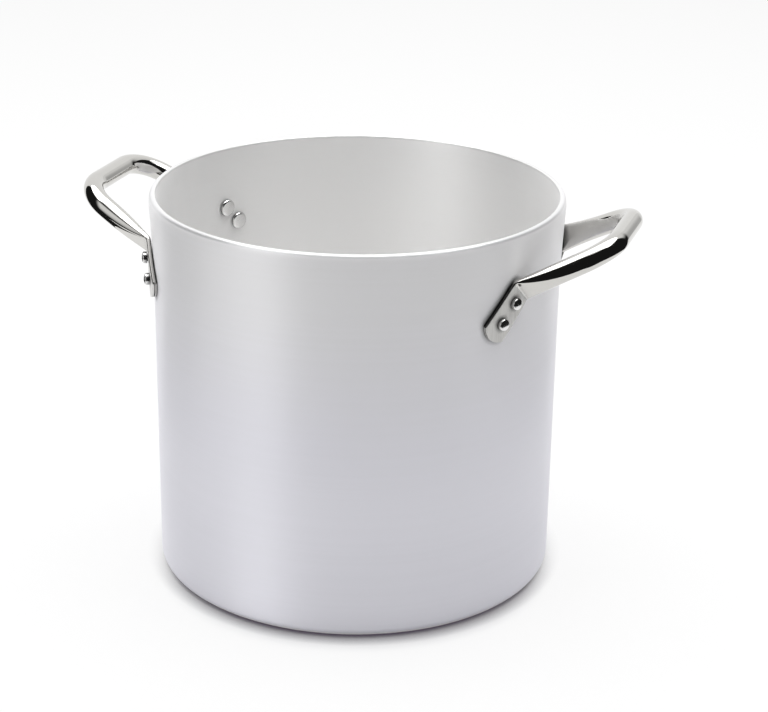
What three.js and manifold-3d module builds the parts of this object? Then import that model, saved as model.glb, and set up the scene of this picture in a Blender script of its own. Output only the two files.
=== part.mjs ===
// A tall straight-sided cooking pot with two tube handles, each held by four rivets.
// Millimetres, +Z up, origin in the middle of the base, the handles along +X and -X.

import * as THREE from 'three';
import { mergeVertices } from 'three/addons/utils/BufferGeometryUtils.js';
import Module from 'manifold-3d';

const wasm = await Module();
wasm.setup();

// Driving dimensions of the pot body.
const POT_RADIUS = 143;
const POT_HEIGHT = 275;
const WALL = 4;
const BASE = 5;
const BASE_CORNER = 6.5;
const FLARE_HEIGHT = 80;
const FLARE = 2.7;
const RIM_THICKNESS = 5;
const RIM_ROUND = 2.3;
const RIM_TAPER = 6;
const RIM_EDGE = 0.5;

// Driving dimensions of a handle: a bent tube whose two ends are pressed flat into lugs.
const TUBE_DIAMETER = 14.4;
const TUBE_WALL = 1.3;
const LUG_SLIT = 0.6;
const GRIP_REACH = 47;
const GRIP_DROP = 8.6;
const GRIP_HALF_SPAN = 42;
const CORNER_RADIUS = 27.5;
const FOLD_RADIUS = 3.5;
const ROUNDING_LENGTH = 40;
const LUG_SPREAD = 70.7;
const LUG_DROP = 51.2;
const LUG_TILT = THREE.MathUtils.degToRad(43);
const LUG_CROWN = 5;

// Driving dimensions of the rivets.
const RIVET_PITCH = 16.2;
const RIVET_TO_TIP = 12.9;
const RIVET_TO_FOLD = 9.5;
const SHANK_DIAMETER = 5.6;
const INNER_HEAD_DIAMETER = 13;
const INNER_HEAD_HEIGHT = 2.4;
const OUTER_HEAD_DIAMETER = 8.3;
const OUTER_HEAD_HEIGHT = 3.9;
const OUTER_HEAD_ROUND = 1.3;

// Small space left between separate pieces.
const CLEARANCE = 0.3;

const flareAt = (z) => Math.max(0, (z - POT_HEIGHT + FLARE_HEIGHT) / FLARE_HEIGHT) ** 2;
const outerWall = (z) => POT_RADIUS + FLARE * flareAt(z);
const innerWall = (z) => POT_RADIUS - WALL + (FLARE + WALL - RIM_THICKNESS) * flareAt(z);

// Points on an arc in the (radius, height) plane, angles in degrees from straight outward.
function arc(centreR, centreZ, radius, from, to, steps) {
  const points = [];
  for (let i = 0; i <= steps; i += 1) {
    const angle = THREE.MathUtils.degToRad(from + ((to - from) * i) / steps);
    points.push(new THREE.Vector2(centreR + radius * Math.cos(angle), centreZ + radius * Math.sin(angle)));
  }
  return points;
}

// Points up or down a wall whose radius depends on the height.
function wallPoints(radiusAt, fromZ, toZ, steps) {
  const points = [];
  for (let i = 0; i <= steps; i += 1) {
    const z = fromZ + ((toZ - fromZ) * i) / steps;
    points.push(new THREE.Vector2(radiusAt(z), z));
  }
  return points;
}

function toSolid(geometry) {
  const bare = geometry.clone();
  bare.deleteAttribute('normal');
  bare.deleteAttribute('uv');
  const welded = mergeVertices(bare, 1e-4);
  const mesh = new wasm.Mesh({
    numProp: 3,
    vertProperties: new Float32Array(welded.attributes.position.array),
    triVerts: new Uint32Array(welded.index.array),
  });
  mesh.merge();
  return new wasm.Manifold(mesh);
}

function toGeometry(solid) {
  const mesh = solid.getMesh();
  const geometry = new THREE.BufferGeometry();
  geometry.setAttribute('position', new THREE.BufferAttribute(new Float32Array(mesh.vertProperties), 3));
  geometry.setIndex(new THREE.BufferAttribute(new Uint32Array(mesh.triVerts), 1));
  geometry.computeVertexNormals();
  return geometry;
}

// The drawn pot: one profile turned about the upright axis.
function potGeometry() {
  const inside = POT_RADIUS - WALL;
  const innerCorner = BASE_CORNER - WALL / 2;
  const lipZ = POT_HEIGHT - RIM_TAPER;
  const lip = outerWall(lipZ);
  const mouth = innerWall(POT_HEIGHT);
  const flareZ = POT_HEIGHT - FLARE_HEIGHT;
  const lipCurve = arc(lip - RIM_ROUND, 0, RIM_ROUND, 0, 90, 4).slice(1);
  const profile = [
    new THREE.Vector2(0, 0),
    ...arc(POT_RADIUS - BASE_CORNER, BASE_CORNER, BASE_CORNER, -90, 0, 5),
    ...wallPoints(outerWall, flareZ, lipZ, 4),
    ...lipCurve.map(({ x, y }) => new THREE.Vector2(x, lipZ + (y * RIM_TAPER) / RIM_ROUND)),
    ...arc(mouth + RIM_EDGE, POT_HEIGHT - RIM_EDGE, RIM_EDGE, 90, 180, 1),
    ...wallPoints(innerWall, POT_HEIGHT - RIM_EDGE, flareZ, 3).slice(1),
    ...arc(inside - innerCorner, BASE + innerCorner, innerCorner, 0, -90, 4),
    new THREE.Vector2(0, BASE),
  ];
  const geometry = new THREE.LatheGeometry(profile, 80);
  geometry.rotateX(Math.PI / 2);
  return geometry;
}

// Where things sit on a lug, measured along it from the middle between its two rivets.
const lugThickness = 2 * TUBE_WALL + LUG_SLIT;
const lugTip = -(RIVET_PITCH / 2 + RIVET_TO_TIP);
const lugFold = RIVET_PITCH / 2 + RIVET_TO_FOLD;

// A place on a lug: along it, across it and out from its middle layer, following the round wall.
function onLug(along, across, out) {
  const sideways = LUG_SPREAD - along * Math.sin(LUG_TILT) + across * Math.cos(LUG_TILT);
  const z = POT_HEIGHT - LUG_DROP + along * Math.cos(LUG_TILT) + across * Math.sin(LUG_TILT);
  const angle = sideways / POT_RADIUS;
  const radius = outerWall(z) + CLEARANCE + lugThickness / 2 + out;
  return new THREE.Vector3(radius * Math.cos(angle), radius * Math.sin(angle), z);
}

const rivetPlaces = [
  { name: 'upper', along: RIVET_PITCH / 2 },
  { name: 'lower', along: -RIVET_PITCH / 2 },
].map(({ name, along }) => {
  const place = onLug(along, 0, 0);
  return { name, angle: Math.atan2(place.y, place.x), z: place.z };
});

// Stations round a bend of the given radius between two straight runs that meet at a corner.
function bend(corner, before, after, radius, steps) {
  const turn = before.angleTo(after);
  const axis = before.clone().cross(after).normalize();
  const start = corner.clone().addScaledVector(before, -radius * Math.tan(turn / 2));
  const centre = start.clone().addScaledVector(axis.clone().cross(before), radius);
  const stations = [];
  for (let i = 0; i <= steps; i += 1) {
    const angle = (turn * i) / steps;
    const place = start.clone().sub(centre).applyAxisAngle(axis, angle).add(centre);
    stations.push({ place, forward: before.clone().applyAxisAngle(axis, angle) });
  }
  return stations;
}

const QUARTER_POINTS = 4;

// The tube's section, pressed to a given height: pairs of (across, out), the metal keeping its length.
// A quarter runs from the folded edge, where the points lie close together on a flat section, to the crown.
function section(height, inset) {
  const flatness = (TUBE_DIAMETER - height) / (TUBE_DIAMETER - lugThickness);
  const middle = (TUBE_DIAMETER - TUBE_WALL) / 2;
  const fold = (height - TUBE_WALL) / 2;
  const bent = (fold * Math.PI) / 2;
  const straight = ((middle - fold) * Math.PI) / 2;
  const round = height / 2 - inset;
  const quarter = [];
  for (let i = 0; i < QUARTER_POINTS; i += 1) {
    const even = ((bent + straight) * i) / QUARTER_POINTS;
    const close = i < 3 ? (bent * i) / 2 : bent + straight * 0.45;
    const length = even + (close - even) * flatness;
    const turned = Math.min(length, bent) / fold;
    const flat = Math.max(0, length - bent);
    quarter.push([straight - flat + round * Math.cos(turned), round * Math.sin(turned)]);
  }
  const right = [...quarter, [0, round]];
  const left = quarter.slice().reverse().map(([across, out]) => [-across, out]);
  const upper = [...right, ...left];
  const lower = upper.slice(1, -1).reverse().map(([across, out]) => [across, -out]);
  return [...upper, ...lower];
}

// One side of a handle, from the tip of its lug to the middle of the grip.
function handleStations() {
  const foldPlace = onLug(lugFold, 0, 0);
  const lugForward = foldPlace.clone().sub(onLug(lugFold - 1, 0, 0)).normalize();
  const lugAcross = onLug(lugFold, 1, 0).sub(foldPlace);
  const corner = new THREE.Vector3(POT_RADIUS + GRIP_REACH, GRIP_HALF_SPAN, POT_HEIGHT - GRIP_DROP);
  const armForward = corner.clone().sub(foldPlace).normalize();
  const gripForward = new THREE.Vector3(0, -1, 0);
  const foldBend = bend(foldPlace, lugForward, armForward, FOLD_RADIUS, 3);
  const cornerBend = bend(corner, armForward, gripForward, CORNER_RADIUS, 7);
  const armStart = foldBend[foldBend.length - 1].place;
  const armLength = armStart.distanceTo(cornerBend[0].place);
  const rounding = Math.min(ROUNDING_LENGTH, armLength);
  const stations = foldBend.map((station) => ({ ...station, height: lugThickness }));
  for (let i = 1; i <= 5; i += 1) {
    const share = i / 5;
    const place = armStart.clone().addScaledVector(armForward, rounding * share);
    const height = lugThickness + (TUBE_DIAMETER - lugThickness) * (1 - (1 - share) ** 2);
    stations.push({ place, forward: armForward, height });
  }
  cornerBend.forEach((station) => stations.push({ ...station, height: TUBE_DIAMETER }));
  const middle = new THREE.Vector3(corner.x, 0, corner.z);
  stations.push({ place: middle, forward: gripForward, height: TUBE_DIAMETER });
  const across = lugAcross.addScaledVector(lugForward, -lugAcross.dot(lugForward)).normalize();
  const turn = new THREE.Quaternion();
  let last = lugForward;
  stations.forEach((station) => {
    across.applyQuaternion(turn.setFromUnitVectors(last, station.forward));
    station.across = across.clone();
    station.out = across.clone().cross(station.forward);
    last = station.forward;
  });
  return stations;
}

// Rings of points round one surface of the tube, the outside or the bore.
function handleRings(inset) {
  const rings = [];
  const flat = section(lugThickness, inset);
  const halfWidth = section(lugThickness, 0)[0][0];
  const foldTangent = FOLD_RADIUS * 0.5;
  rings.push(flat.map(([across, out]) => onLug(lugTip + LUG_CROWN * (across / halfWidth) ** 2, across, out)));
  const firstStraight = lugTip + LUG_CROWN * 1.6;
  const lastStraight = lugFold - foldTangent * 2;
  for (let i = 0; i <= 3; i += 1) {
    const along = firstStraight + ((lastStraight - firstStraight) * i) / 3;
    rings.push(flat.map(([across, out]) => onLug(along, across, out)));
  }
  handleStations().forEach((station) => {
    const ring = section(station.height, inset).map(([across, out]) => {
      const point = station.place.clone().addScaledVector(station.across, across);
      return point.addScaledVector(station.out, out);
    });
    rings.push(ring);
  });
  const mirrored = rings.slice(0, -1).reverse();
  mirrored.forEach((ring) => rings.push(ring.map((point) => new THREE.Vector3(point.x, -point.y, point.z))));
  return rings;
}

// A hollow bent tube open at both lug tips, before its rivet holes are cut.
function handleGeometry() {
  const outside = handleRings(0);
  const bore = handleRings(TUBE_WALL);
  const count = outside[0].length;
  const boreStart = outside.length * count;
  const positions = [...outside.flat(), ...bore.flat()].flatMap((point) => point.toArray());
  const index = [];
  const quad = (a, b, c, d) => index.push(a, b, c, b, d, c);
  for (let ring = 0; ring < outside.length - 1; ring += 1) {
    for (let i = 0; i < count; i += 1) {
      const next = (i + 1) % count;
      const here = ring * count;
      const there = here + count;
      quad(here + next, here + i, there + next, there + i);
      quad(boreStart + here + i, boreStart + here + next, boreStart + there + i, boreStart + there + next);
    }
  }
  const end = (outside.length - 1) * count;
  for (let i = 0; i < count; i += 1) {
    const next = (i + 1) % count;
    quad(i, next, boreStart + i, boreStart + next);
    quad(end + next, end + i, boreStart + end + next, boreStart + end + i);
  }
  const geometry = new THREE.BufferGeometry();
  geometry.setAttribute('position', new THREE.BufferAttribute(new Float32Array(positions), 3));
  geometry.setIndex(index);
  return geometry;
}

// Turns a piece made along +Y into one that points out from the pot at an angle and height.
function pointOut(geometry, angle, z) {
  geometry.rotateZ(-Math.PI / 2);
  geometry.rotateZ(angle);
  geometry.translate(0, 0, z);
  return geometry;
}

const RIVET_SIDES = 16;

// A solid rivet: wide low head inside the pot, shank through wall and lug, short formed head outside.
function rivetGeometry(angle, z) {
  const innerRadius = INNER_HEAD_DIAMETER / 2;
  const outerRadius = OUTER_HEAD_DIAMETER / 2;
  const shank = SHANK_DIAMETER / 2;
  const innerSeat = Math.sqrt(innerWall(z - innerRadius) ** 2 - innerRadius ** 2) - CLEARANCE;
  const outerSeat = outerWall(z + outerRadius) + 2 * CLEARANCE + lugThickness;
  const edge = INNER_HEAD_HEIGHT / 5;
  const crown = INNER_HEAD_HEIGHT - edge;
  const domeRadius = (innerRadius ** 2 + crown ** 2) / (2 * crown);
  const domeAngle = THREE.MathUtils.radToDeg(Math.asin(innerRadius / domeRadius));
  const domeCentre = innerSeat - INNER_HEAD_HEIGHT + domeRadius;
  const top = outerSeat + OUTER_HEAD_HEIGHT;
  const profile = [
    ...arc(0, domeCentre, domeRadius, -90, domeAngle - 90, 2),
    new THREE.Vector2(innerRadius, innerSeat),
    new THREE.Vector2(shank, innerSeat),
    new THREE.Vector2(shank, outerSeat),
    new THREE.Vector2(outerRadius, outerSeat),
    ...arc(outerRadius - OUTER_HEAD_ROUND, top - OUTER_HEAD_ROUND, OUTER_HEAD_ROUND, 0, 75, 2),
    new THREE.Vector2(0, top),
  ];
  return pointOut(new THREE.LatheGeometry(profile, RIVET_SIDES), angle, z);
}

// A hole for a rivet shank, reaching from the hollow of the pot to past the lug.
function holeSolid(angle, z) {
  const reach = 6 * (WALL + lugThickness);
  const hole = new THREE.CylinderGeometry(
    SHANK_DIAMETER / 2 + CLEARANCE,
    SHANK_DIAMETER / 2 + CLEARANCE,
    reach,
    RIVET_SIDES,
  );
  hole.translate(0, POT_RADIUS, 0);
  return toSolid(pointOut(hole, angle, z));
}

const sides = [
  { name: 'front', sign: -1 },
  { name: 'back', sign: 1 },
];
const handles = [
  { name: 'right', turn: 0 },
  { name: 'left', turn: Math.PI },
];

const aluminium = new THREE.MeshStandardMaterial({ color: 0xc4c4c8, roughness: 0.42, metalness: 1 });
const steel = new THREE.MeshStandardMaterial({ color: 0xd2d0ca, roughness: 0.12, metalness: 1 });
const rivetMetal = new THREE.MeshStandardMaterial({ color: 0xcbcbcd, roughness: 0.3, metalness: 1 });

const part = new THREE.Group();
part.name = 'cooking_pot';

function add(name, geometry, material) {
  const mesh = new THREE.Mesh(geometry, material);
  mesh.name = name;
  part.add(mesh);
}

let body = toSolid(potGeometry());
const bareHandle = toSolid(handleGeometry());

handles.forEach(({ name, turn }) => {
  let handle = bareHandle.rotate([0, 0, THREE.MathUtils.radToDeg(turn)]);
  sides.forEach((side) => {
    rivetPlaces.forEach((rivet) => {
      const sign = turn ? -side.sign : side.sign;
      const angle = turn + sign * rivet.angle;
      const hole = holeSolid(angle, rivet.z);
      body = body.subtract(hole);
      handle = handle.subtract(hole);
      add(`${name}_${side.name}_${rivet.name}_rivet`, rivetGeometry(angle, rivet.z), rivetMetal);
    });
  });
  add(`${name}_handle`, toGeometry(handle), steel);
});

add('pot_body', toGeometry(body), aluminium);

export default part;
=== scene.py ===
# %% [markdown]
# # A tall aluminium cooking pot
# The real pot is spun from a sheet of aluminium. Two handles bent from steel tube are riveted to
# its wall by their flattened ends. The CAD model fixes every size and place, so this lesson only
# gives each piece a finer mesh and its finish. All of it is in metres, in the frame of the CAD.

# %% Load the frame
import math

import bmesh
import bpy
from mathutils import Matrix, Quaternion, Vector


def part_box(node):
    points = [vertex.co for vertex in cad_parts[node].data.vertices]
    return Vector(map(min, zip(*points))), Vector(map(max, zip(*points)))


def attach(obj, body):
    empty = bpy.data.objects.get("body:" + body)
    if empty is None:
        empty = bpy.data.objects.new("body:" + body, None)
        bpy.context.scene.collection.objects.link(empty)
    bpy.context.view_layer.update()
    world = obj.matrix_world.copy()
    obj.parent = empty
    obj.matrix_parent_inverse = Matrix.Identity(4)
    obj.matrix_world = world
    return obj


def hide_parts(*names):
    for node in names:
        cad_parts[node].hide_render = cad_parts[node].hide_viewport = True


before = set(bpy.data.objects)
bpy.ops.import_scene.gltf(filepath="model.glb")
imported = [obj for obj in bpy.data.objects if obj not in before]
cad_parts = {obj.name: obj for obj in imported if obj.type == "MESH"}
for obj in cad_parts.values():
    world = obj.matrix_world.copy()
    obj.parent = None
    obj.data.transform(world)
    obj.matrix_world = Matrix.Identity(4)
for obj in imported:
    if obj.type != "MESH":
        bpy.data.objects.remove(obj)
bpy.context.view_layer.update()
scene = bpy.context.scene
scene.view_settings.view_transform = "Standard"

# %% [markdown]
# ## Camera
# The photograph looks down on the pot from a little above the rim, from a little to the right of
# the front. A camera could be aimed with a Track To constraint. Three plain turns are used here:
# heading about the upright, then pitch, then the small roll of a hand-held camera.

# %% Set up the camera
CAMERA_PLACE = Vector((0.4279, -1.2441, 0.6735))
HEADING = math.radians(18.11)
PITCH_DOWN = math.radians(21.69)
ROLL = math.radians(0.86)
LENS = 92.06
SENSOR_WIDTH = 36

lens = bpy.data.cameras.new("camera")
lens.lens = LENS
lens.sensor_width = SENSOR_WIDTH
camera = bpy.data.objects.new("camera", lens)
aim = Matrix.Rotation(HEADING, 4, "Z") @ Matrix.Rotation(math.pi / 2 - PITCH_DOWN, 4, "X")
camera.matrix_world = Matrix.Translation(CAMERA_PLACE) @ aim @ Matrix.Rotation(ROLL, 4, "Z")
scene.collection.objects.link(camera)
scene.camera = camera
print("camera at", list(CAMERA_PLACE))

# %% [markdown]
# ## Measures
# The pot is 28 cm across inside. What the frame already knows, such as the height of the rim and
# the place of the grips, is read from the boxes of the CAD nodes. The thin details, such as the
# wall and the bends, are written here in millimetres, as a maker's drawing would give them.

# %% Read the measures
MM = 0.001
POT_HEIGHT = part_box("pot_body")[1].z
POT_RADIUS = 143 * MM
WALL = 4 * MM
BASE = 5 * MM
BASE_CORNER = 6.5 * MM
FLARE_HEIGHT = 80 * MM
FLARE = 2.7 * MM
RIM_THICKNESS = 5 * MM
RIM_ROUND = 2.3 * MM
RIM_TAPER = 6 * MM
RIM_EDGE = 0.5 * MM
TUBE = 14.4 * MM
TUBE_WALL = 1.3 * MM
CLEARANCE = 0.3 * MM
handle_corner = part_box("right_handle")[1]
grip_x = handle_corner.x - TUBE / 2
grip_z = handle_corner.z - TUBE / 2
print(f"pot {2 * POT_RADIUS:.3f} m across, {POT_HEIGHT:.3f} m high, grip {grip_x:.4f} m out")


# %% [markdown]
# ## The wall's own curve
# A spun pot is not a plain cylinder: near the rim the wall opens a little, and the rim is slightly
# thicker than the wall below. Both faces of the wall are written as a radius for each height,
# because the handles and rivets have to lie on the same curve.

# %% Radius of the wall at a height
def flare_at(z):
    return max(0, (z - POT_HEIGHT + FLARE_HEIGHT) / FLARE_HEIGHT) ** 2


def outer_wall(z):
    return POT_RADIUS + FLARE * flare_at(z)


def inner_wall(z):
    return POT_RADIUS - WALL + (FLARE + WALL - RIM_THICKNESS) * flare_at(z)


print(f"wall opens from {outer_wall(0):.4f} m to {outer_wall(POT_HEIGHT):.4f} m at the rim")

# %% [markdown]
# ## Turning a profile
# Spun and turned pieces are all rings about an axis. Blender's Screw modifier could sweep a
# profile, but then the middle of a closed disc is left as a pinched ring. Here each point of the
# profile becomes a ring of vertices, and a point on the axis becomes a single one.

# %% Turn a profile into a mesh
ON_AXIS = 1e-9
CRISP_ANGLE = 40


def turn_ring(shell, radius, height, sides):
    """One ring of the turned piece; on the axis it is a single vertex."""
    if radius < ON_AXIS:
        return [shell.verts.new((0, 0, height))]
    angles = [2 * math.pi * side / sides for side in range(sides)]
    return [shell.verts.new((radius * math.cos(a), radius * math.sin(a), height)) for a in angles]


def join_rings(shell, near, far, sides):
    """Faces between two neighbouring rings, of which one may be a single vertex."""
    for side in range(sides):
        after = (side + 1) % sides
        first = [near[side % len(near)], near[after % len(near)]]
        second = [far[after % len(far)], far[side % len(far)]]
        shell.faces.new(list(dict.fromkeys(first + second)))


def close_mesh(shell, name, crisp_degrees):
    """Turn the working mesh into a smooth-shaded one that keeps its edges crisp."""
    bmesh.ops.recalc_face_normals(shell, faces=shell.faces)
    mesh = bpy.data.meshes.new(name)
    shell.to_mesh(mesh)
    shell.free()
    mesh.shade_smooth()
    mesh.set_sharp_from_angle(angle=math.radians(crisp_degrees))
    return mesh


def turned(name, profile, sides):
    """A mesh turned about Z from (radius, height) points that start and end on the axis."""
    shell = bmesh.new()
    rings = [turn_ring(shell, radius, height, sides) for radius, height in profile]
    for near, far in zip(rings, rings[1:]):
        join_rings(shell, near, far, sides)
    return close_mesh(shell, name, CRISP_ANGLE)


print("edges stay crisp above", CRISP_ANGLE, "degrees")

# %% [markdown]
# ## Shader sums in plain Python
# A finish is a sum of small effects, and wiring each Math node by hand hides the sum. The class
# below wraps one socket, so that `0.3 + 0.1 * lines` adds its own Math nodes. Every other node
# comes from one method: its type, its settings, then the values or links of its sockets. The
# short methods after it are the few nodes that this lesson uses again and again.

# %% Wrap a socket
CORNER_SAMPLES = 6


class Wire:
    """One socket in a shader tree."""

    def __init__(self, tree, socket=None):
        self.tree = tree
        self.socket = socket

    def node(self, kind, settings=None, sockets=None, output=0):
        """Add a node, make its settings, fill its sockets, and give back one output."""
        made = self.tree.nodes.new(kind)
        for name, value in (settings or {}).items():
            setattr(made, name, value)
        for name, value in (sockets or {}).items():
            if isinstance(value, Wire):
                self.tree.links.new(value.socket, made.inputs[name])
            else:
                made.inputs[name].default_value = value
        return Wire(self.tree, made.outputs[output] if made.outputs else None)

    def out(self, name):
        """Another output of the node that this socket is on."""
        return Wire(self.tree, self.socket.node.outputs[name])

    def math(self, operation, *values):
        return self.node("ShaderNodeMath", {"operation": operation}, dict(enumerate(values)))

    def __add__(self, other):
        return self.math("ADD", self, other)

    def __radd__(self, other):
        return self.math("ADD", other, self)

    def __sub__(self, other):
        return self.math("SUBTRACT", self, other)

    def __rsub__(self, other):
        return self.math("SUBTRACT", other, self)

    def __mul__(self, other):
        return self.math("MULTIPLY", self, other)

    def __rmul__(self, other):
        return self.math("MULTIPLY", other, self)

    def __pow__(self, other):
        return self.math("POWER", self, other)

    def place(self):
        """The point of the surface, in the piece's own space."""
        return self.node("ShaderNodeTexCoord", output="Object")

    def stored(self, name, output="Fac"):
        """What the mesh stores under this name."""
        return self.node("ShaderNodeAttribute", {"attribute_name": name}, None, output)

    def apart(self):
        """The X, Y and Z of a vector."""
        parts = self.node("ShaderNodeSeparateXYZ", None, {"Vector": self})
        return parts, parts.out("Y"), parts.out("Z")

    def together(self, x, y, z):
        return self.node("ShaderNodeCombineXYZ", None, {"X": x, "Y": y, "Z": z})

    def noise(self, scale, detail=2.0):
        """Soft noise around 0.5 at this place."""
        sockets = {"Vector": self, "Scale": scale, "Detail": detail}
        return self.node("ShaderNodeTexNoise", None, sockets)

    def rise(self, low, high):
        """0 below low, 1 above high, and a smooth step between."""
        limits = {"Value": self, "From Min": low, "From Max": high}
        return self.node("ShaderNodeMapRange", {"interpolation_type": "SMOOTHSTEP"}, limits)

    def openness(self, reach, contrast):
        """1 on an open face and less in a corner or gap, by what stands within the reach."""
        settings = {"samples": CORNER_SAMPLES}
        sockets = {"Distance": reach}
        return self.node("ShaderNodeAmbientOcclusion", settings, sockets, "AO") ** contrast

    def colour(self, dark, pale):
        """A colour between two, by this amount."""
        sockets = {0: self, 6: (*dark, 1), 7: (*pale, 1)}
        return self.node("ShaderNodeMix", {"data_type": "RGBA"}, sockets, 2)

    def dim(self, colour):
        """A colour taken down to black as this amount goes from 1 to 0."""
        sockets = {0: self, 6: (0, 0, 0, 1), 7: colour}
        return self.node("ShaderNodeMix", {"data_type": "RGBA"}, sockets, 2)

    def bump(self, strength, distance):
        """A normal that follows this height."""
        sockets = {"Strength": strength, "Distance": distance, "Height": self}
        return self.node("ShaderNodeBump", None, sockets)

    def mix(self, first, second):
        """The first shader at 0 and the second at 1."""
        return self.node("ShaderNodeMixShader", None, {0: self, 1: first, 2: second})


def new_finish(name):
    """An empty material and the start of its node tree."""
    material = bpy.data.materials.new(name)
    material.use_nodes = True
    material.node_tree.nodes.clear()
    return material, Wire(material.node_tree)


print("shader sums ready, corners by", CORNER_SAMPLES, "samples")

# %% [markdown]
# ## Turned aluminium
# The pot is bare metal, spun and then smoothed with abrasive while it turned. That leaves
# hair-fine rings all round, which stretch each reflection up and down the wall. An image of
# scratches would repeat, so the rings come from noise that is squeezed along the profile and
# drawn out round the pot. The stretched gloss itself is the shader's anisotropy.

# %% Marks of turning
FINE_RINGS = 2600
BROAD_RINGS = 420
CLOUDS = 11.0

pot_finish, start = new_finish("turned_aluminium")
place = start.place()
x, y, z = place.apart()
radius = (x * x + y * y) ** 0.5
profile_way = radius + z
rings_fine = start.together(x * 9, y * 9, profile_way * FINE_RINGS).noise(1.0, 3.0)
rings_broad = start.together(x * 3, y * 3, profile_way * BROAD_RINGS).noise(1.0)
clouds = place.noise(CLOUDS, 3.0)
print("fine rings about", round(1000 / FINE_RINGS, 2), "mm wide")

# %% [markdown]
# ## Zones of the pot
# The finish isn't the same all over. The rim is rubbed smooth and is painted a little darker, a
# painted shade on the lit rim. The outside turns cooler towards the base and shines more like
# bare metal at its foot. The floor inside is less metallic and is painted darker, a painted shade
# at the bottom of the pot. The zones are painted by height and radius here. Vertex groups would
# do too, but a mask in the shader is as sharp as it has to be on any mesh.

# %% Find the zones
WALL_MIDDLE = POT_RADIUS - 0.9 * MM
ZONE_EDGE = 0.2 * MM
RIM_BAND = 2.2 * MM
COOL_BELOW = 120 * MM
WARM_ABOVE = 270 * MM
FOOT_TOP = 100 * MM
DULL_TOP = BASE + 45 * MM

rim = z.rise(POT_HEIGHT - RIM_BAND, POT_HEIGHT - 0.4 * RIM_BAND)
outside = radius.rise(WALL_MIDDLE - ZONE_EDGE, WALL_MIDDLE + ZONE_EDGE)
inside = 1 - outside
low = 1 - z.rise(COOL_BELOW, WARM_ABOVE)
foot = outside * (1 - z.rise(0.0, FOOT_TOP))
dull_shaded_floor = inside * (1 - z.rise(BASE, DULL_TOP))
print("zones: rim, outside, inside, foot and floor")

# %% [markdown]
# ## Shader of the pot
# The wall is painted darker where the lugs and rivets touch it, a painted shade. It could be
# painted round each lug, but Ambient Occlusion finds those corners by itself and keeps to them
# from every side. The rest is a sum of the marks and zones above, for colour, roughness and how
# metallic the skin is.

# %% Mix the turned aluminium
CONTACT_REACH = 4 * MM
BARE_METAL = (0.973, 0.970, 0.966)
COOL_METAL = (0.901, 0.897, 0.957)

# Painted shade: the wall's colour darkens by Ambient Occlusion close to the lugs and rivets.
contact = 1 - 0.85 * outside * (1 - start.openness(CONTACT_REACH, 1.5))
# Painted shade: the rim is 12% darker in colour and the floor inside 10% darker.
pot_tone = contact * (1 - 0.12 * rim) * (0.985 + 0.03 * rings_broad)
pot_tone = pot_tone * (1 - 0.10 * dull_shaded_floor) * (1 - 0.015 * outside)
cool = outside * (0.25 + 0.75 * low) + 0.2 * (clouds - 0.5) + 0.08 * (rings_broad - 0.5)
pot_roughness = 0.52 + 0.10 * (rings_fine - 0.5) + 0.04 * (rings_broad - 0.5)
pot_roughness = pot_roughness + 0.10 * (clouds - 0.5)
pot_roughness = pot_roughness + 0.12 * inside * (1 - rim) - 0.12 * rim
satin = 0.3 + 0.37 * inside + 0.35 * foot - 0.67 * dull_shaded_floor
pot_shader = start.node("ShaderNodeBsdfPrincipled", None, {
    "Base Color": pot_tone.dim(cool.colour(BARE_METAL, COOL_METAL)),
    "Metallic": satin + rim * (0.55 - satin),
    "Roughness": pot_roughness,
    "Normal": (rings_fine + 0.25 * rings_broad).bump(0.05, 0.0004),
    "Anisotropic": 0.8,
    "Anisotropic Rotation": 0.25,
})
start.node("ShaderNodeOutputMaterial", None, {"Surface": pot_shader})
print("finish", pot_finish.name, len(pot_finish.node_tree.nodes), "nodes")

# %% [markdown]
# ## Pot body
# The vessel is one skin: flat base, small rounded corner, straight wall that opens near the rim, a
# long rounded taper up to the flat rim edge, and down the inside to the floor. A Bevel modifier
# could round the rim, but the taper is taller than it is deep, so a quarter circle is stretched
# upwards instead. Long faces beside a small rounding would shade as if they were curved, so the
# straight stretches are divided as well.

# %% Profile of the pot
POT_SIDES = 256
CORNER_STEPS = 10
EDGE_STEPS = 4
WALL_STEPS = 60
FLOOR_STEPS = 10
INNER_CORNER = BASE_CORNER - WALL / 2


def arc(centre, radius, start, stop, steps):
    """Points of an arc in the profile plane, from one angle to another, in degrees."""
    turns = [math.radians(start + (stop - start) * step / steps) for step in range(steps + 1)]
    out, up = centre
    return [(out + radius * math.cos(turn), up + radius * math.sin(turn)) for turn in turns]


def spread(first, last, steps):
    """Evenly spaced values from the first towards the last, which is left out."""
    return [first + (last - first) * step / steps for step in range(steps)]


rim_bottom = POT_HEIGHT - RIM_TAPER
edge_bottom = POT_HEIGHT - RIM_EDGE
edge_middle = (inner_wall(edge_bottom) + RIM_EDGE, edge_bottom)
lip_curve = arc((outer_wall(rim_bottom) - RIM_ROUND, 0), RIM_ROUND, 0, 90, 2 * CORNER_STEPS)
base_flat = POT_RADIUS - BASE_CORNER
floor_flat = inner_wall(0) - INNER_CORNER
outside_heights = spread(BASE_CORNER, rim_bottom, WALL_STEPS)[1:]
inside_heights = spread(edge_bottom, BASE + INNER_CORNER, WALL_STEPS)[1:]
pot_profile = [(r, 0) for r in spread(0, base_flat, FLOOR_STEPS)]
pot_profile += arc((base_flat, BASE_CORNER), BASE_CORNER, -90, 0, CORNER_STEPS)
pot_profile += [(outer_wall(h), h) for h in outside_heights]
pot_profile += [(r, rim_bottom + h * RIM_TAPER / RIM_ROUND) for r, h in lip_curve]
pot_profile += arc(edge_middle, RIM_EDGE, 90, 180, EDGE_STEPS)
pot_profile += [(inner_wall(h), h) for h in inside_heights]
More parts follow.
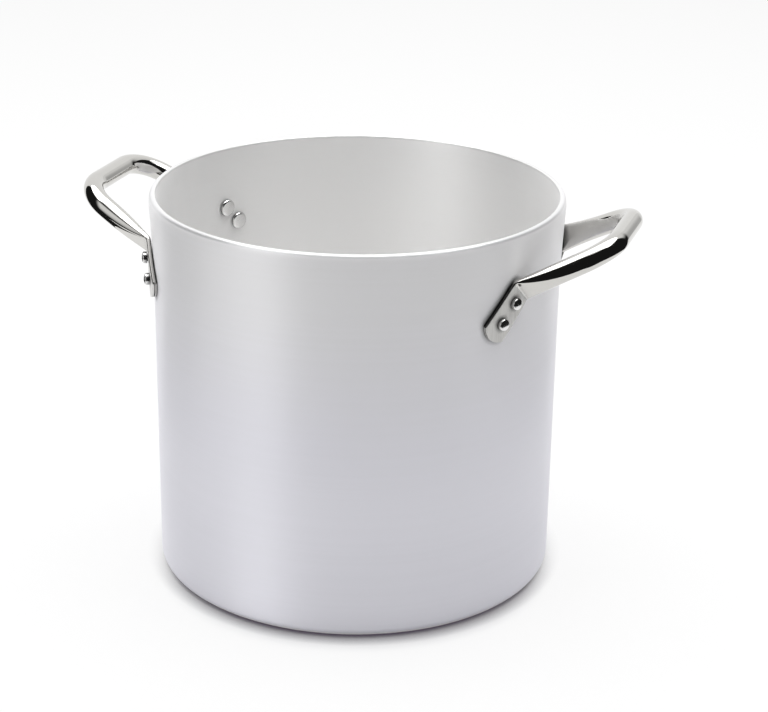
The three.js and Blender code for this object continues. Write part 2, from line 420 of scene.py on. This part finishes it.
pot_profile += arc((floor_flat, BASE + INNER_CORNER), INNER_CORNER, 0, -90, CORNER_STEPS)
pot_profile += [(r, BASE) for r in spread(floor_flat, 0, FLOOR_STEPS)[1:]] + [(0, BASE)]
print("profile points", len(pot_profile))


# %% Turn the pot
def place_piece(name, mesh, finish, node, turn=0.0):
    """Show a mesh as the piece that stands for a CAD node, turned about the pot's axis."""
    piece = bpy.data.objects.new(name, mesh)
    piece.rotation_euler.z = turn
    if not mesh.materials:
        mesh.materials.append(finish)
    scene.collection.objects.link(piece)
    bpy.context.view_layer.update()
    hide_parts(node)
    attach(piece, "root")
    return piece


pot_mesh = turned("spun_pot", pot_profile, POT_SIDES)
place_piece("spun_pot", pot_mesh, pot_finish, "pot_body")
print("spun_pot", len(pot_mesh.polygons), "faces")

# %% [markdown]
# ## Path of a handle
# Each handle is one tube: a flat lug on the wall, a tight fold, a straight arm outwards and up, a
# wide bend and the grip, then the same back again. A bevelled curve would keep one section all
# along, but this tube changes from a flat strip to a round, so its rings are laid one by one.

# %% Place a point on the lug
LUG_SPREAD = 70.7 * MM
LUG_DROP = 51.2 * MM
LUG_TILT = math.radians(43)
LUG_SLIT = 0.6 * MM
LUG_THICKNESS = 2 * TUBE_WALL + LUG_SLIT
RIVET_PITCH = 16.2 * MM
RIVET_TO_TIP = 12.9 * MM
RIVET_TO_FOLD = 9.5 * MM


def on_lug(along, across, out):
    """A point of the lug: along it towards the fold, across it, and outwards from its middle."""
    sideways = LUG_SPREAD - along * math.sin(LUG_TILT) + across * math.cos(LUG_TILT)
    rise = along * math.cos(LUG_TILT) + across * math.sin(LUG_TILT)
    height = POT_HEIGHT - LUG_DROP + rise
    angle = sideways / POT_RADIUS
    reach = outer_wall(height) + CLEARANCE + LUG_THICKNESS / 2 + out
    return Vector((reach * math.cos(angle), reach * math.sin(angle), height))


lug_tip = -(RIVET_PITCH / 2 + RIVET_TO_TIP)
lug_fold = RIVET_PITCH / 2 + RIVET_TO_FOLD
fold_point = on_lug(lug_fold, 0, 0)
print("fold at", [round(value, 4) for value in fold_point])

# %% Lay the path
GRIP_HALF_SPAN = 42 * MM
CORNER_RADIUS = 27.5 * MM
FOLD_RADIUS = 3.5 * MM
BEND_STEPS = 14


def bend(corner, come, go, radius, steps):
    """Places and directions round a bend between two straight runs that meet at a corner."""
    turn = come.angle(go)
    axis = come.cross(go).normalized()
    first = corner - come * (radius * math.tan(turn / 2))
    centre = first + axis.cross(come) * radius
    turns = [Quaternion(axis, turn * step / steps) for step in range(steps + 1)]
    return [(centre + spin @ (first - centre), spin @ come) for spin in turns]


corner_point = Vector((grip_x, GRIP_HALF_SPAN, grip_z))
lug_way = (fold_point - on_lug(lug_fold - MM, 0, 0)).normalized()
arm_way = (corner_point - fold_point).normalized()
grip_way = Vector((0, -1, 0))
fold_bend = bend(fold_point, lug_way, arm_way, FOLD_RADIUS, BEND_STEPS)
corner_bend = bend(corner_point, arm_way, grip_way, CORNER_RADIUS, 2 * BEND_STEPS)
print("arm turns", round(math.degrees(arm_way.angle(grip_way))), "degrees into the grip")

# %% [markdown]
# ## Section of the tube
# Pressing a tube flat does not stretch its metal: the section becomes two flat layers joined by
# tight folds, with the same length all round. So each ring is a pair of half circles with two
# straight runs between, and the straight runs take the length that the half circles give up. On
# the lugs the press squares the folds as well, so their sides are flatter than half circles.

# %% Press the section
QUARTER_POINTS = 16
SIDE_FLATNESS = 0.5
LUG_ONLY = 8


def pressed_section(height, inset):
    """(across, out) points round the tube pressed to a height, the metal keeping its length."""
    flatness = (TUBE - height) / (TUBE - LUG_THICKNESS)
    fold = (height - TUBE_WALL) / 2
    bent = fold * math.pi / 2
    straight = ((TUBE - TUBE_WALL) / 2 - fold) * math.pi / 2
    rounding = height / 2 - inset
    squareness = 1 - SIDE_FLATNESS * flatness ** LUG_ONLY
    quarter = []
    for share in spread(0, 1, QUARTER_POINTS):
        even = (bent + straight) * share
        crowded = bent * min(1, 2 * share) + straight * max(0, 2 * share - 1)
        length = even + (crowded - even) * flatness
        angle = min(length, bent) / fold
        flat = max(0, length - bent)
        sideways = max(0, math.cos(angle)) ** squareness
        upwards = math.sin(angle) ** squareness
        quarter.append((straight - flat + rounding * sideways, rounding * upwards))
    upper = quarter + [(0, rounding)] + [(-across, out) for across, out in reversed(quarter)]
    return upper + [(across, -out) for across, out in upper[-2:0:-1]]


lug_section = pressed_section(LUG_THICKNESS, 0)
half_lug = lug_section[0][0]
print(len(lug_section), "points round the tube, lug", round(2 * half_lug / MM, 1), "mm wide")

# %% [markdown]
# ## Rings of a handle
# The lug bends to the round of the wall, so its rings are laid on the wall itself and its tip is
# rounded by setting back the edges. From the fold on, each ring stands square to the path. The
# frame of each ring is turned by the least turn from the one before, so the tube never twists.

# %% Stations along the arm
ROUNDING_LENGTH = 40 * MM
ROUNDING_RINGS = 40
ARM_STEPS = 8
GRIP_STEPS = 16


def arm_stations():
    """(place, direction, pressed height) from the fold to the middle of the grip."""
    stations = [(place, way, LUG_THICKNESS) for place, way in fold_bend]
    arm_start = fold_bend[-1][0]
    arm_end = corner_bend[0][0]
    for step in range(1, ROUNDING_RINGS + 1):
        share = step / ROUNDING_RINGS
        height = LUG_THICKNESS + (TUBE - LUG_THICKNESS) * (1 - (1 - share) ** 2)
        stations.append((arm_start + arm_way * (ROUNDING_LENGTH * share), arm_way, height))
    arm_straight = (arm_end - arm_start).length
    for reach in spread(ROUNDING_LENGTH, arm_straight, ARM_STEPS)[1:]:
        stations.append((arm_start + arm_way * reach, arm_way, TUBE))
    stations += [(place, way, TUBE) for place, way in corner_bend]
    for y_place in spread(corner_bend[-1][0].y, 0, GRIP_STEPS)[1:] + [0]:
        stations.append((Vector((grip_x, y_place, grip_z)), grip_way, TUBE))
    return stations


half_way = arm_stations()
print("stations from fold to grip", len(half_way))

# %% Lay the rings
LUG_STEPS = 24
LUG_CROWN = 5 * MM
TIP_RINGS = 6


def lug_rings(inset):
    """Rings from the rounded tip of the lug to the start of the fold."""
    flat = pressed_section(LUG_THICKNESS, inset)
    last = lug_fold - FOLD_RADIUS
    rings = []
    for step, along in enumerate(spread(lug_tip, last, LUG_STEPS) + [last]):
        set_back = LUG_CROWN * max(0, 1 - step / TIP_RINGS)
        ring = [(along + set_back * (across / half_lug) ** 2, across, out) for across, out in flat]
        rings.append([on_lug(*point) for point in ring])
    return rings


def handle_rings(inset):
    """All the rings of one surface of the tube, from tip to tip."""
    rings = lug_rings(inset)
    across = on_lug(lug_fold, MM, 0) - fold_point
    across = (across - lug_way * across.dot(lug_way)).normalized()
    before = lug_way
    for place, way, height in half_way:
        across = before.rotation_difference(way) @ across
        outwards = across.cross(way)
        section = pressed_section(height, inset)
        rings.append([place + across * a + outwards * o for a, o in section])
        before = way
    mirrored = [[Vector((p.x, -p.y, p.z)) for p in ring] for ring in reversed(rings[:-1])]
    return rings + mirrored


outer_rings = handle_rings(0)
bore_rings = handle_rings(TUBE_WALL)
print("rings along a handle", len(outer_rings))

# %% [markdown]
# ## Polished steel
# The tube is bright stainless steel, polished along its length after it was bent, so the shine is
# sharp with a trace of lines. The lugs were pressed between flat tools and brushed: they are
# duller, with fine upright lines. A finish needs to know where along the tube it is, so the
# straightened place of every point and how flat the tube is there are stored on the mesh.

# %% Marks on the steel
POLISH_LINES = 2400
BRUSH_LINES = 1000
RIPPLES = 170.0

handle_finish, start = new_finish("polished_steel")
straight_tube = start.stored("straight_tube", "Vector")
pressed = start.stored("pressed")
tube_x, tube_y, tube_along = straight_tube.apart()
x, y, z = start.place().apart()
polish = start.together(tube_x * POLISH_LINES, tube_y * POLISH_LINES, tube_along * 40).noise(1.0)
brush = start.together(x * BRUSH_LINES, y * BRUSH_LINES, z * 70).noise(1.0)
ripple = straight_tube.noise(RIPPLES)
print("brush lines on the lugs", round(1000 / BRUSH_LINES, 1), "mm apart")

# %% [markdown]
# ## Shader of the steel
# Narrow gaps are painted dark, a painted shade found again by Ambient Occlusion. On the right
# handle the sides of the lugs are painted nearly black, a painted shade of the dark gap between
# lug and wall. Where it is painted is stored on the mesh too, because on the left handle those
# sides stay bright.

# %% Mix the polished steel
GAP_REACH = 3 * MM
SIDE_REACH = 7 * MM
DARK_STEEL = (0.600, 0.590, 0.565)
PALE_STEEL = (0.860, 0.850, 0.830)

steel_tone = 0.12 * ripple + 0.08 * polish + pressed * (0.2 + brush)
# Painted shade: gaps darken by Ambient Occlusion, and the right lugs' sides go nearly black.
side_shade_depth = start.stored("painted_side_shade") * (1 - 0.3 * start.openness(SIDE_REACH, 5.0))
steel_light = start.openness(GAP_REACH, 1.5) * (1 - side_shade_depth)
steel_roughness = 0.055 + 0.05 * (polish - 0.5) + 0.04 * (ripple - 0.5)
steel_roughness = steel_roughness + pressed * (0.28 + 0.10 * (brush - 0.5))
steel_relief = polish * (0.12 - 0.1 * pressed) + 0.3 * ripple + 0.4 * pressed * brush
steel_shader = start.node("ShaderNodeBsdfPrincipled", None, {
    "Base Color": steel_light.dim(steel_tone.colour(DARK_STEEL, PALE_STEEL)),
    "Metallic": 1 - 0.7 * pressed,
    "Roughness": steel_roughness,
    "Normal": steel_relief.bump(0.06, 0.0003),
})
start.node("ShaderNodeOutputMaterial", None, {"Surface": steel_shader})
print("finish", handle_finish.name, len(handle_finish.node_tree.nodes), "nodes")

# %% [markdown]
# ## Handles
# The outside and the bore are two sets of rings, joined at the tips, where the thin slit between
# the pressed layers shows. Both handles have the same shape, and the left one is turned half a
# turn about the pot's axis. One mesh could serve both, but only the right one has a painted shade
# on the sides of its lugs, so each has a mesh of its own.

# %% Skin the rings
TUBE_CRISP_ANGLE = 50


def skin_handle(outside_rings, inside_rings):
    """A closed tube: the outside from tip to tip, then the bore back again."""
    shell = bmesh.new()
    rings = outside_rings + inside_rings[::-1]
    rows = [[shell.verts.new(point) for point in ring] for ring in rings]
    for near, far in zip(rows, rows[1:] + rows[:1]):
        join_rings(shell, near, far, len(near))
    return close_mesh(shell, "bent_tube", TUBE_CRISP_ANGLE)


def store(mesh, name, values):
    """Store one number for each point of a mesh."""
    mesh.attributes.new(name, "FLOAT", "POINT").data.foreach_set("value", values)


def store_places(mesh, name, places):
    """Store one place for each point of a mesh."""
    values = [value for place in places for value in place]
    mesh.attributes.new(name, "FLOAT_VECTOR", "POINT").data.foreach_set("vector", values)


print("tube folds stay crisp above", TUBE_CRISP_ANGLE, "degrees")

# %% Straighten the tube
middles = [sum(ring, Vector()) / len(ring) for ring in outer_rings]
along_tube = [0.0]
for before, here in zip(middles, middles[1:]):
    along_tube.append(along_tube[-1] + (here - before).length)
turns = spread(0, 2 * math.pi, len(lug_section))
around_tube = [(TUBE / 2 * math.cos(turn), TUBE / 2 * math.sin(turn)) for turn in turns]
print(f"{along_tube[-1]:.3f} m of tube in each handle")

# %% Mark the tube
FACE_EDGE = 8


def mark_tube(mesh, side_shade_strength):
    """Store the straightened place of each point, how flat it is pressed, and its painted shade.
    """
    there = list(range(len(outer_rings)))
    order = there + there[::-1]
    arm_rings = len(half_way) - BEND_STEPS - 1
    flat = [1.0] * (LUG_STEPS + 1) + spread(1, 0, BEND_STEPS + 1) + [0.0] * arm_rings
    flat += flat[-2::-1]
    side = [FACE_EDGE * (1 - 2 * abs(out) / LUG_THICKNESS) for _, out in lug_section]
    face = [max(0, 1 - share) for share in side]
    straight = [(*point, along_tube[ring]) for ring in order for point in around_tube]
    store_places(mesh, "straight_tube", straight)
    store(mesh, "pressed", [flat[ring] * share for ring in order for share in face])
    # The painted shade on the sides of the lugs, scaled for each handle.
    painted_side_shade = [side_shade_strength * flat[ring] * (1 - share) for ring in order for share in face]
    store(mesh, "painted_side_shade", painted_side_shade)


for side, turn, side_shade_strength in (("right", 0.0, 1.0), ("left", math.pi, 0.0)):
    tube_mesh = skin_handle(outer_rings, bore_rings)
    mark_tube(tube_mesh, side_shade_strength)
    name = f"{side}_bent_tube"
    place_piece(name, tube_mesh, handle_finish, f"{side}_handle", turn)
    print(name, len(tube_mesh.polygons), "faces")

# %% [markdown]
# ## Pressed aluminium
# Two solid aluminium rivets hold each lug. Pressing leaves them brighter than the wall, with
# faint dents and a fine grain. Their corners against the lug are painted dark, a painted shade
# found by Ambient Occlusion. A smooth mirror would look like chrome, so dents and grain go into
# both the bump and the roughness.

# %% Finish of the rivets
CORNER_REACH = 4 * MM
DENTS = 420.0
GRAIN = 2600.0
DARK_RIVET = (0.760, 0.757, 0.750)
PALE_RIVET = (0.840, 0.838, 0.835)

rivet_finish, start = new_finish("pressed_aluminium")
place = start.place()
dents = place.noise(DENTS)
grain = place.noise(GRAIN)
clean_rivet = (0.5 * dents + 0.5 * grain).colour(DARK_RIVET, PALE_RIVET)
# Painted shade: the corners against the lug darken by Ambient Occlusion in the base colour.
rivet_shader = start.node("ShaderNodeBsdfPrincipled", None, {
    "Base Color": start.openness(CORNER_REACH, 2.5).dim(clean_rivet),
    "Metallic": 1.0,
    "Roughness": 0.22 + 0.08 * (grain - 0.5) + 0.06 * (dents - 0.5),
    "Normal": (dents + 0.2 * grain).bump(0.12, 0.0004),
})
start.node("ShaderNodeOutputMaterial", None, {"Surface": rivet_shader})
print("finish", rivet_finish.name, len(rivet_finish.node_tree.nodes), "nodes")

# %% [markdown]
# ## Rivets
# The wide low head lies inside the pot, and the outer end was beaten down to a short stout head.
# Each head ends in a button: a round edge, then a low crown, which mirrors more of the room than
# a flat end would. A cut sphere could be scaled to this, but a turned profile gives the head, the
# shank and the seat at once. The rivet is then laid on its side to point outwards.

# %% Profile of a rivet
SHANK = 5.6 * MM / 2
INNER_HEAD = 13 * MM / 2
INNER_HEAD_HEIGHT = 2.4 * MM
INNER_HEAD_ROUND = 2.0 * MM
INNER_HEAD_LEAN = math.radians(8)
OUTER_HEAD = 8.3 * MM / 2
OUTER_HEAD_HEIGHT = 3.9 * MM
OUTER_HEAD_ROUND = 1.3 * MM
OUTER_HEAD_LEAN = math.radians(25)
BUTTON_STEPS = 8


def button_end(radius, rounding, lean):
    """(radius, drop) points from the side of a head to its middle: round edge, low crown."""
    edge = radius - rounding + rounding * math.sin(lean)
    crown = edge * math.tan(lean) / 2
    centre = (radius - rounding, crown + rounding * math.cos(lean))
    round_edge = arc(centre, rounding, 0, math.degrees(lean) - 90, BUTTON_STEPS)
    return round_edge + [(edge * share, crown * share ** 2) for share in (0.75, 0.5, 0.25, 0)]


def rivet_profile(height):
    """(radius, distance from the pot's axis) points of a rivet at a height on the wall."""
    inner_reach = math.sqrt(inner_wall(height - INNER_HEAD) ** 2 - INNER_HEAD ** 2)
    inner_seat = inner_reach - CLEARANCE
    outer_seat = outer_wall(height + OUTER_HEAD) + 2 * CLEARANCE + LUG_THICKNESS
    inner_end = inner_seat - INNER_HEAD_HEIGHT
    outer_end = outer_seat + OUTER_HEAD_HEIGHT
    inner_button = button_end(INNER_HEAD, INNER_HEAD_ROUND, INNER_HEAD_LEAN)
    outer_button = button_end(OUTER_HEAD, OUTER_HEAD_ROUND, OUTER_HEAD_LEAN)
    profile = [(r, inner_end + drop) for r, drop in reversed(inner_button)]
    profile += [(INNER_HEAD, inner_seat), (SHANK, inner_seat)]
    profile += [(SHANK, outer_seat), (OUTER_HEAD, outer_seat)]
    return profile + [(r, outer_end - drop) for r, drop in outer_button]


print("rivet profile points", len(rivet_profile(POT_HEIGHT - LUG_DROP)))

# %% Set the rivets
RIVET_SIDES = 48


def rivet_mesh(level, height):
    """A rivet that points along +X at its height, ready to be turned about the pot's axis."""
    mesh = turned(f"{level}_rivet", rivet_profile(height), RIVET_SIDES)
    lie_down = Matrix.Rotation(math.pi / 2, 4, "Y")
    mesh.transform(Matrix.Translation((0, 0, height)) @ lie_down)
    return mesh


for level, along in (("upper", RIVET_PITCH / 2), ("lower", -RIVET_PITCH / 2)):
    spot = on_lug(along, 0, 0)
    spread_angle = math.atan2(spot.y, spot.x)
    mesh = rivet_mesh(level, spot.z)
    turns = {
        "right_front": -spread_angle,
        "right_back": spread_angle,
        "left_front": math.pi + spread_angle,
        "left_back": math.pi - spread_angle,
    }
    for lug, turn in turns.items():
        name = f"{lug}_{level}_pressed_rivet"
        node = f"{lug}_{level}_rivet"
        place_piece(name, mesh, rivet_finish, node, turn)
    print(level, "rivets", round(math.degrees(spread_angle), 2), "degrees from the grip")

# %% [markdown]
# ## Floor
# The pot stands on a white sheet. The floor is matt white and also glows a little for rays from
# the camera and from metal, so that it reads as white while it keeps the pot's soft shadow. Close
# to the base the glow fades, and a painted shadow, found by Ambient Occlusion, adds the dark line
# of contact. On the side away from the main lamp the fade reaches further and the painted line is
# deeper, so the place of that lamp is settled first.

# %% Place of the main lamp
CAMERA_SIDE = math.atan2(CAMERA_PLACE.y, CAMERA_PLACE.x)


def around_pot(degrees, distance, height):
    """A place round the pot, by degrees to the right of the camera as the picture shows it."""
    angle = CAMERA_SIDE + math.radians(degrees)
    return Vector((distance * math.cos(angle), distance * math.sin(angle), height))


MAIN_LAMP = around_pot(180, 0.33, 2.2)
print("main lamp at", [round(value, 3) for value in MAIN_LAMP])

# %% Shadow on the floor
SHADOW_WIDTH = 19 * MM
SHADOW_SHIFT = 9 * MM
SHADOW_REACH = 12 * MM
SHADOW_DEPTH = 1.3

floor_finish, start = new_finish("white_sheet")
x, y, _ = start.place().apart()
from_axis = (x * x + y * y) ** 0.5
away_x, away_y = -MAIN_LAMP.xy.normalized()
lamp_shade = ((away_x * x + away_y * y) * from_axis ** -1.0).rise(0.0, 1.0)
shadow_edge = from_axis - SHADOW_SHIFT * (1.6 * lamp_shade - 0.6)
clear = shadow_edge.rise(base_flat, base_flat + SHADOW_WIDTH)
dark_line = (0.18 + 0.82 * lamp_shade) * (1 - start.openness(SHADOW_REACH, SHADOW_DEPTH))
print("shadow fades over", SHADOW_WIDTH, "m")

# %% Finish of the floor
FLOOR_GLOW = 0.8
WEAVE = 900.0
SHEET_DARK = (0.90, 0.90, 0.90)
SHEET_PALE = (0.93, 0.93, 0.93)
SHADOW_COLOUR = (0.075, 0.062, 0.085, 1)
WHITE = (1, 1, 1, 1)


def seen_white(start):
    """1 for rays from the camera, from metal and from glass, which see the white background."""
    rays = start.node("ShaderNodeLightPath", output="Is Camera Ray")
    return rays + rays.out("Is Glossy Ray") + rays.out("Is Transmission Ray")


matt = start.node("ShaderNodeBsdfPrincipled", None, {
    "Base Color": start.place().noise(WEAVE).colour(SHEET_DARK, SHEET_PALE),
    "Roughness": 0.9,
    "Specular IOR Level": 0.0,
})
glow = start.node("ShaderNodeEmission", None, {"Color": WHITE, "Strength": 1.0})
# A painted shadow: a dark violet glow that the dark line mixes in near the base.
shade = start.node("ShaderNodeEmission", None, {"Color": SHADOW_COLOUR, "Strength": 1.0})
sheet_white = (FLOOR_GLOW * clear * seen_white(start)).mix(matt, glow)
sheet_mix = (1 - dark_line).mix(shade, sheet_white)
start.node("ShaderNodeOutputMaterial", None, {"Surface": sheet_mix})
print("finish", floor_finish.name, len(floor_finish.node_tree.nodes), "nodes")

# %% Lay the floor
FLOOR_HALF = 4.0
FLOOR_GAP = 0.15 * MM

shell = bmesh.new()
floor_sides = ((-1, -1), (1, -1), (1, 1), (-1, 1))
floor_corners = [(sx * FLOOR_HALF, sy * FLOOR_HALF, -FLOOR_GAP) for sx, sy in floor_sides]
shell.faces.new([shell.verts.new(corner) for corner in floor_corners])
floor_mesh = bpy.data.meshes.new("white_floor")
shell.to_mesh(floor_mesh)
shell.free()
floor_mesh.materials.append(floor_finish)
floor = bpy.data.objects.new("white_floor", floor_mesh)
scene.collection.objects.link(floor)
print("floor", 2 * FLOOR_HALF, "m wide")

# %% [markdown]
# ## Light
# Polished metal shows the room more than it shows light. Here the room is a white tent with two
# soft boxes, one above and a little behind the pot and one at the left front. An image of a real
# studio would give more detail, but a tent and boxes can be moved until each band on the handles
# sits where it should.

# %% White tent
TENT_LEVEL = 0.45

tent = bpy.data.worlds.new("white_tent")
tent.use_nodes = True
tent.node_tree.nodes.clear()
start = Wire(tent.node_tree)
tent_light = start.node("ShaderNodeBackground", None, {"Color": WHITE, "Strength": TENT_LEVEL})
tent_white = start.node("ShaderNodeBackground", None, {"Color": WHITE, "Strength": 1.0})
tent_mix = seen_white(start).mix(tent_light, tent_white)
start.node("ShaderNodeOutputWorld", None, {"Surface": tent_mix})
scene.world = tent
print("tent level", TENT_LEVEL)

# %% Soft boxes
AIM_POINT = Vector((0, 0, 0.15))


def soft_box(name, spot, width, height, brightness):
    """A large even lamp that faces the pot; the brightness is what a mirror would show."""
    light = bpy.data.lights.new(name, "AREA")
    light.shape = "RECTANGLE"
    light.size = width
    light.size_y = height
    light.energy = brightness * math.pi * width * height
    lamp = bpy.data.objects.new(name, light)
    lamp.location = spot
    lamp.rotation_euler = (AIM_POINT - spot).to_track_quat("-Z", "Y").to_euler()
    lamp.visible_camera = False
    scene.collection.objects.link(lamp)
    return lamp


left_place = around_pot(-54, 2.4, 1.4)
soft_box("left_box", left_place, width=0.75, height=1.65, brightness=1.1)
top_box = soft_box("top_box", MAIN_LAMP, width=2.9, height=1.9, brightness=3.0)
top_box.rotation_euler = (0, 0, CAMERA_SIDE + math.pi / 2)
print("two soft boxes, the top one level and square to the camera")

# %% [markdown]
# ## Dark cloth
# A dark cloth hangs round the camera's side of the tent. It draws the black lines on the handles
# and the darker middle of the wall. It isn't black all over: a pale panel at the left front and a
# pale upper corner and edge at the right break up its reflection. The cloth is seen in reflections
# only and casts no shadow, so the left box can stand behind it. Its tone is stored on its points,
# because a few smooth steps are easier to move about than a painted picture.

# %% Cut of the cloth
CLOTH_LEFT = -126
CLOTH_RIGHT = 150
CLOTH_START = 0.42


def soft_step(low, high, value):
    """0 below low, 1 above high, and a smooth step between."""
    share = min(1, max(0, (value - low) / (high - low)))
    return share * share * (3 - 2 * share)


def cloth_top(side):
    """How high the cloth goes, in degrees of rise: highest in front."""
    return 48 + 13 * soft_step(-75, -25, side) * (1 - soft_step(40, 80, side))


def cloth_start(side):
    """How far from the pot the cloth starts on the floor."""
    panel = soft_step(-90, -80, side) * (1 - soft_step(-40, -30, side))
    right = 0.14 * soft_step(45, 65, side) + 1.4 * soft_step(122, 130, side)
    return CLOTH_START + 0.43 * panel + right


print("cloth from", CLOTH_LEFT, "to", CLOTH_RIGHT, "degrees, in front up to", cloth_top(0))

# %% Tone of the cloth
CLOTH_BLACK = 0.012
PANEL_TONE = 0.9
CORNER_TONE = 0.9
NAP = 30.0


def cloth_tone(side, rise):
    """How pale the cloth is, by degrees to the right of the camera and degrees of rise."""
    panel = soft_step(-76, -60, side) * (1 - soft_step(-44, -30, side))
    panel_height = soft_step(-10, -2, rise) * (1 - soft_step(34, 46, rise))
    corner = soft_step(115, 120, side) * soft_step(10, 36, rise)
    edge = 0.45 * soft_step(129.5, 133.5, side) + 0.4 * soft_step(133.5, 143, side)
    return CLOTH_BLACK + PANEL_TONE * panel * panel_height + max(CORNER_TONE * corner, edge)


cloth_finish, start = new_finish("dark_cloth")
nap = start.place().noise(NAP)
cloth_colour = (start.stored("tone") * (0.9 + 0.2 * nap)).colour((0, 0, 0), (1, 1, 1))
cloth_shader = start.node("ShaderNodeEmission", None, {"Color": cloth_colour, "Strength": 1.0})
start.node("ShaderNodeOutputMaterial", None, {"Surface": cloth_shader})
print("cloth tone in front", cloth_tone(0, 20), "and on the panel", round(cloth_tone(-52, 20), 2))

# %% Hang the cloth
CLOTH_STEPS = 90
CLOTH_ROWS = 24
CLOTH_DISTANCE = 2.0
CLOTH_CENTRE = 0.25
CLOTH_LIFT = 0.004
FLOOR_RISE = -40


def cloth_column(side):
    """(place, tone) of points at one side of the camera: along the floor, then up and over."""
    hem = -math.degrees(math.asin((CLOTH_CENTRE - CLOTH_LIFT) / CLOTH_DISTANCE))
    column = [(around_pot(side, cloth_start(side), CLOTH_LIFT), cloth_tone(side, FLOOR_RISE))]
    for rise in spread(hem, cloth_top(side), CLOTH_ROWS) + [cloth_top(side)]:
        reach = CLOTH_DISTANCE * math.cos(math.radians(rise))
        height = CLOTH_CENTRE + CLOTH_DISTANCE * math.sin(math.radians(rise))
        column.append((around_pot(side, reach, height), cloth_tone(side, rise)))
    return column


cloth_sides = spread(CLOTH_LEFT, CLOTH_RIGHT, CLOTH_STEPS) + [CLOTH_RIGHT]
layout = [cloth_column(side) for side in cloth_sides]
shell = bmesh.new()
columns = [[shell.verts.new(place) for place, _ in column] for column in layout]
for near, far in zip(columns, columns[1:]):
    for row in range(CLOTH_ROWS + 1):
        shell.faces.new((near[row], far[row], far[row + 1], near[row + 1]))
cloth_mesh = bpy.data.meshes.new("dark_cloth")
shell.to_mesh(cloth_mesh)
shell.free()
store(cloth_mesh, "tone", [tone for column in layout for _, tone in column])
cloth_mesh.materials.append(cloth_finish)
cloth = bpy.data.objects.new("dark_cloth", cloth_mesh)
scene.collection.objects.link(cloth)
cloth.visible_camera = False
cloth.visible_diffuse = False
cloth.visible_shadow = False
print("dark cloth of", len(cloth_mesh.polygons), "faces")
